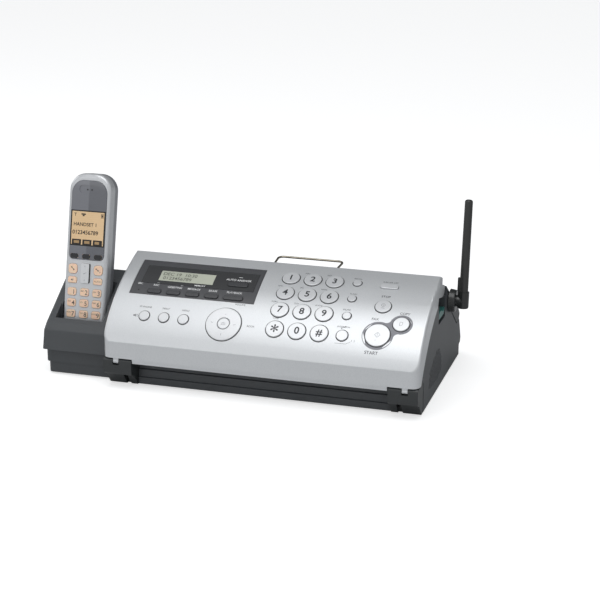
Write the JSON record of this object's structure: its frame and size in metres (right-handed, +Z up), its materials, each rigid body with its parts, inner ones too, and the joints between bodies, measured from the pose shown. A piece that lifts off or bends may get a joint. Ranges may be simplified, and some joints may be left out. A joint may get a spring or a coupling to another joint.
{
  "type": "fax machine",
  "caption": "Desktop film fax with a sloping keypad panel that opens, roller and film drive, folding antenna, and a cordless handset in a side cradle.",
  "frame": {"origin": "bottom centre of the whole object's box, on the surface it stands on", "axes": "+X to the right along the longest side, from the handset cradle to the antenna; +Y to the back; +Z up"},
  "size_m": [0.4542, 0.225, 0.2175],
  "materials": {
    "cabinet_plastic": "fine moulded texture",
    "bracket_plastic": "fine moulded texture",
    "panel_silver": "silver painted plastic, satin",
    "bezel_plastic": "satin moulded",
    "display_window": "clear smoked window, polished",
    "panel_keys": "silver painted plastic, satin",
    "dark_keys": "satin moulded",
    "lever_green": "moulded",
    "wire_steel": "plated wire",
    "antenna_black": "satin moulded",
    "roller_rubber": "ground rubber on a steel shaft",
    "ink_film": "wound ink film",
    "gear_brass": "cut",
    "motor_steel": "plated can",
    "board_green": "solder resist",
    "head_aluminium": "extruded",
    "speaker_black": "paper cone in a pressed frame",
    "foot_rubber": "moulded",
    "handset_silver": "silver painted plastic, satin",
    "handset_grey": "satin moulded",
    "handset_lens": "polished, printed behind",
    "handset_keys": "backlit, satin"
  },
  "bodies": {
    "cabinet": {"base_cabinet": "cabinet_plastic", "cradle_housing": "cabinet_plastic", "corner_brackets": "bracket_plastic", "drive_motor": "motor_steel", "main_board": "board_green", "thermal_head": "head_aluminium", "image_sensor": "bracket_plastic", "speaker": "speaker_black", "rubber_feet": "foot_rubber"},
    "front_cover": {"front_cover": "panel_silver", "display_bezel": "bezel_plastic", "lcd_window": "display_window", "document_tray": "bracket_plastic"},
    "back_cover": {"back_cover": "cabinet_plastic"},
    "paper_wire": {"paper_wire": "wire_steel"},
    "release_lever": {"release_lever": "lever_green"},
    "document_guide_left": {"document_guide_left": "cabinet_plastic"},
    "document_guide_right": {"document_guide_right": "cabinet_plastic"},
    "antenna": {"antenna_knuckle": "antenna_black", "antenna_rod": "antenna_black"},
    "platen_roller": {"platen_roller": "roller_rubber"},
    "feed_roller": {"feed_roller": "roller_rubber"},
    "film_takeup_roll": {"film_takeup_roll": "ink_film"},
    "film_supply_roll": {"film_supply_roll": "ink_film"},
    "motor_pinion": {"motor_pinion": "gear_brass"},
    "handset": {"handset_front_shell": "handset_silver", "handset_back_shell": "handset_grey", "handset_lens": "handset_lens", "handset_keymat": "handset_keys"},
    "dial_key_1": {"dial_key_1": "panel_keys"},
    "dial_key_2": {"dial_key_2": "panel_keys"},
    "dial_key_3": {"dial_key_3": "panel_keys"},
    "dial_key_4": {"dial_key_4": "panel_keys"},
    "dial_key_5": {"dial_key_5": "panel_keys"},
    "dial_key_6": {"dial_key_6": "panel_keys"},
    "dial_key_7": {"dial_key_7": "panel_keys"},
    "dial_key_8": {"dial_key_8": "panel_keys"},
    "dial_key_9": {"dial_key_9": "panel_keys"},
    "dial_key_star": {"dial_key_star": "panel_keys"},
    "dial_key_0": {"dial_key_0": "panel_keys"},
    "dial_key_hash": {"dial_key_hash": "panel_keys"},
    "speakerphone_key": {"speakerphone_key": "panel_keys"},
    "print_list_key": {"print_list_key": "panel_keys"},
    "menu_key": {"menu_key": "panel_keys"},
    "rec_key": {"rec_key": "dark_keys"},
    "greeting_key": {"greeting_key": "dark_keys"},
    "message_key": {"message_key": "dark_keys"},
    "erase_key": {"erase_key": "dark_keys"},
    "playback_key": {"playback_key": "dark_keys"},
    "answer_on_key": {"answer_on_key": "dark_keys"},
    "redial_key": {"redial_key": "panel_keys"},
    "flash_key": {"flash_key": "panel_keys"},
    "mute_key": {"mute_key": "panel_keys"},
    "intercom_key": {"intercom_key": "panel_keys"},
    "caller_list_key": {"caller_list_key": "panel_keys"},
    "stop_key": {"stop_key": "panel_keys"},
    "copy_key": {"copy_key": "panel_keys"},
    "start_key": {"start_key": "panel_keys"},
    "nav_ring": {"nav_ring": "panel_keys"},
    "nav_centre_key": {"nav_centre_key": "panel_keys"}
  },
  "joints": [
    {"name": "front_cover_hinge", "type": "hinge", "parent": "cabinet", "child": "front_cover", "pos_m": [0.02985, -0.1088, 0.0322], "axis": [1, 0, 0], "range_deg": [0, 60]},
    {"name": "back_cover_hinge", "type": "hinge", "parent": "cabinet", "child": "back_cover", "pos_m": [0.02985, 0.1001, 0.0488], "axis": [-1, 0, 0], "range_deg": [0, 75]},
    {"name": "paper_wire_fold", "type": "hinge", "parent": "back_cover", "child": "paper_wire", "pos_m": [0.02985, 0.0415, 0.099], "axis": [1, 0, 0], "range_deg": [-38, 0]},
    {"name": "release_lever_lift", "type": "hinge", "parent": "cabinet", "child": "release_lever", "pos_m": [0.19785, -0.0095, 0.084], "axis": [1, 0, 0], "range_deg": [0, 12], "stiffness_Nm_per_rad": 0.05, "springref_deg": -5.73},
    {"name": "document_guide_slide", "type": "slide", "parent": "front_cover", "child": "document_guide_left", "axis": [1, 0, 0], "range_m": [0, 0.044]},
    {"name": "document_guide_right_slide", "type": "slide", "parent": "front_cover", "child": "document_guide_right", "axis": [1, 0, 0], "range_m": [-0.044, 0]},
    {"name": "antenna_fold", "type": "hinge", "parent": "cabinet", "child": "antenna", "pos_m": [0.21985, 0.0395, 0.087], "axis": [1, 0, 0], "range_deg": [-82, 97]},
    {"name": "handset_lift", "type": "slide", "parent": "cabinet", "child": "handset", "axis": [0, 0.225, 0.9744], "range_m": [0, 0.15]},
    {"name": "platen_spin", "type": "hinge", "parent": "cabinet", "child": "platen_roller", "pos_m": [0.02985, -0.0545, 0.062], "axis": [1, 0, 0], "continuous": true},
    {"name": "feed_spin", "type": "hinge", "parent": "cabinet", "child": "feed_roller", "pos_m": [0.02985, -0.02074, 0.09176], "axis": [1, 0, 0], "continuous": true},
    {"name": "takeup_spin", "type": "hinge", "parent": "cabinet", "child": "film_takeup_roll", "pos_m": [0.02985, -0.01741, 0.04995], "axis": [1, 0, 0], "continuous": true},
    {"name": "supply_spin", "type": "hinge", "parent": "cabinet", "child": "film_supply_roll", "pos_m": [0.02985, 0.0375, 0.056], "axis": [1, 0, 0], "continuous": true},
    {"name": "pinion_spin", "type": "hinge", "parent": "cabinet", "child": "motor_pinion", "pos_m": [-0.10015, -0.05954, 0.03344], "axis": [1, 0, 0], "continuous": true},
    {"name": "dial_key_1_press", "type": "slide", "parent": "front_cover", "child": "dial_key_1", "axis": [0, 0.3744, -0.9272], "range_m": [0, 0.001], "stiffness_N_per_m": 300, "springref_m": -0.0005},
    {"name": "dial_key_2_press", "type": "slide", "parent": "front_cover", "child": "dial_key_2", "axis": [0, 0.3744, -0.9272], "range_m": [0, 0.001], "stiffness_N_per_m": 300, "springref_m": -0.0005},
    {"name": "dial_key_3_press", "type": "slide", "parent": "front_cover", "child": "dial_key_3", "axis": [0, 0.3744, -0.9272], "range_m": [0, 0.001], "stiffness_N_per_m": 300, "springref_m": -0.0005},
    {"name": "dial_key_4_press", "type": "slide", "parent": "front_cover", "child": "dial_key_4", "axis": [0, 0.4524, -0.8918], "range_m": [0, 0.001], "stiffness_N_per_m": 300, "springref_m": -0.0005},
    {"name": "dial_key_5_press", "type": "slide", "parent": "front_cover", "child": "dial_key_5", "axis": [0, 0.4524, -0.8918], "range_m": [0, 0.001], "stiffness_N_per_m": 300, "springref_m": -0.0005},
    {"name": "dial_key_6_press", "type": "slide", "parent": "front_cover", "child": "dial_key_6", "axis": [0, 0.4524, -0.8918], "range_m": [0, 0.001], "stiffness_N_per_m": 300, "springref_m": -0.0005},
    {"name": "dial_key_7_press", "type": "slide", "parent": "front_cover", "child": "dial_key_7", "axis": [0, 0.5771, -0.8167], "range_m": [0, 0.001], "stiffness_N_per_m": 300, "springref_m": -0.0005},
    {"name": "dial_key_8_press", "type": "slide", "parent": "front_cover", "child": "dial_key_8", "axis": [0, 0.5771, -0.8167], "range_m": [0, 0.001], "stiffness_N_per_m": 300, "springref_m": -0.0005},
    {"name": "dial_key_9_press", "type": "slide", "parent": "front_cover", "child": "dial_key_9", "axis": [0, 0.5771, -0.8167], "range_m": [0, 0.001], "stiffness_N_per_m": 300, "springref_m": -0.0005},
    {"name": "dial_key_star_press", "type": "slide", "parent": "front_cover", "child": "dial_key_star", "axis": [0, 0.6896, -0.7242], "range_m": [0, 0.001], "stiffness_N_per_m": 300, "springref_m": -0.0005},
    {"name": "dial_key_0_press", "type": "slide", "parent": "front_cover", "child": "dial_key_0", "axis": [0, 0.6896, -0.7242], "range_m": [0, 0.001], "stiffness_N_per_m": 300, "springref_m": -0.0005},
    {"name": "dial_key_hash_press", "type": "slide", "parent": "front_cover", "child": "dial_key_hash", "axis": [0, 0.6896, -0.7242], "range_m": [0, 0.001], "stiffness_N_per_m": 300, "springref_m": -0.0005},
    {"name": "speakerphone_key_press", "type": "slide", "parent": "front_cover", "child": "speakerphone_key", "axis": [0, 0.687, -0.7266], "range_m": [0, 0.001], "stiffness_N_per_m": 300, "springref_m": -0.0005},
    {"name": "print_list_key_press", "type": "slide", "parent": "front_cover", "child": "print_list_key", "axis": [0, 0.687, -0.7266], "range_m": [0, 0.001], "stiffness_N_per_m": 300, "springref_m": -0.0005},
    {"name": "menu_key_press", "type": "slide", "parent": "front_cover", "child": "menu_key", "axis": [0, 0.687, -0.7266], "range_m": [0, 0.001], "stiffness_N_per_m": 300, "springref_m": -0.0005},
    {"name": "rec_key_press", "type": "slide", "parent": "front_cover", "child": "rec_key", "axis": [0, 0.5287, -0.8488], "range_m": [0, 0.001], "stiffness_N_per_m": 300, "springref_m": -0.0005},
    {"name": "greeting_key_press", "type": "slide", "parent": "front_cover", "child": "greeting_key", "axis": [0, 0.5287, -0.8488], "range_m": [0, 0.001], "stiffness_N_per_m": 300, "springref_m": -0.0005},
    {"name": "message_key_press", "type": "slide", "parent": "front_cover", "child": "message_key", "axis": [0, 0.5287, -0.8488], "range_m": [0, 0.001], "stiffness_N_per_m": 300, "springref_m": -0.0005},
    {"name": "erase_key_press", "type": "slide", "parent": "front_cover", "child": "erase_key", "axis": [0, 0.5287, -0.8488], "range_m": [0, 0.001], "stiffness_N_per_m": 300, "springref_m": -0.0005},
    {"name": "playback_key_press", "type": "slide", "parent": "front_cover", "child": "playback_key", "axis": [0, 0.5276, -0.8495], "range_m": [0, 0.001], "stiffness_N_per_m": 300, "springref_m": -0.0005},
    {"name": "answer_on_key_press", "type": "slide", "parent": "front_cover", "child": "answer_on_key", "axis": [0, 0.435, -0.9004], "range_m": [0, 0.001], "stiffness_N_per_m": 300, "springref_m": -0.0005},
    {"name": "redial_key_press", "type": "slide", "parent": "front_cover", "child": "redial_key", "axis": [0, 0.3702, -0.929], "range_m": [0, 0.001], "stiffness_N_per_m": 300, "springref_m": -0.0005},
    {"name": "flash_key_press", "type": "slide", "parent": "front_cover", "child": "flash_key", "axis": [0, 0.4511, -0.8925], "range_m": [0, 0.001], "stiffness_N_per_m": 300, "springref_m": -0.0005},
    {"name": "mute_key_press", "type": "slide", "parent": "front_cover", "child": "mute_key", "axis": [0, 0.5761, -0.8173], "range_m": [0, 0.001], "stiffness_N_per_m": 300, "springref_m": -0.0005},
    {"name": "intercom_key_press", "type": "slide", "parent": "front_cover", "child": "intercom_key", "axis": [0, 0.6896, -0.7242], "range_m": [0, 0.001], "stiffness_N_per_m": 300, "springref_m": -0.0005},
    {"name": "caller_list_key_press", "type": "slide", "parent": "front_cover", "child": "caller_list_key", "axis": [0, 0.3744, -0.9272], "range_m": [0, 0.001], "stiffness_N_per_m": 300, "springref_m": -0.0005},
    {"name": "stop_key_press", "type": "slide", "parent": "front_cover", "child": "stop_key", "axis": [0, 0.4884, -0.8726], "range_m": [0, 0.001], "stiffness_N_per_m": 300, "springref_m": -0.0005},
    {"name": "copy_key_press", "type": "slide", "parent": "front_cover", "child": "copy_key", "axis": [0, 0.5975, -0.8019], "range_m": [0, 0.001], "stiffness_N_per_m": 300, "springref_m": -0.0005},
    {"name": "start_key_press", "type": "slide", "parent": "front_cover", "child": "start_key", "axis": [0, 0.6703, -0.7421], "range_m": [0, 0.001], "stiffness_N_per_m": 300, "springref_m": -0.0005},
    {"name": "nav_ring_tilt", "type": "hinge", "parent": "front_cover", "child": "nav_ring", "pos_m": [-0.01295, -0.09288, 0.08091], "axis": [1, 0, 0], "range_deg": [-2, 2], "stiffness_Nm_per_rad": 0.6},
    {"name": "nav_centre_key_press", "type": "slide", "parent": "front_cover", "child": "nav_centre_key", "axis": [0, 0.6888, -0.725], "range_m": [0, 0.001], "stiffness_N_per_m": 300, "springref_m": -0.0005}
  ],
  "couplings": [
    {"joint": "document_guide_right_slide", "follows": "document_guide_slide", "ratio": -1},
    {"joint": "feed_spin", "follows": "platen_spin", "ratio": -1.0455},
    {"joint": "takeup_spin", "follows": "platen_spin", "ratio": -1.4375},
    {"joint": "supply_spin", "follows": "platen_spin", "ratio": -0.98828},
    {"joint": "pinion_spin", "follows": "platen_spin", "ratio": -3.8333}
  ]
}
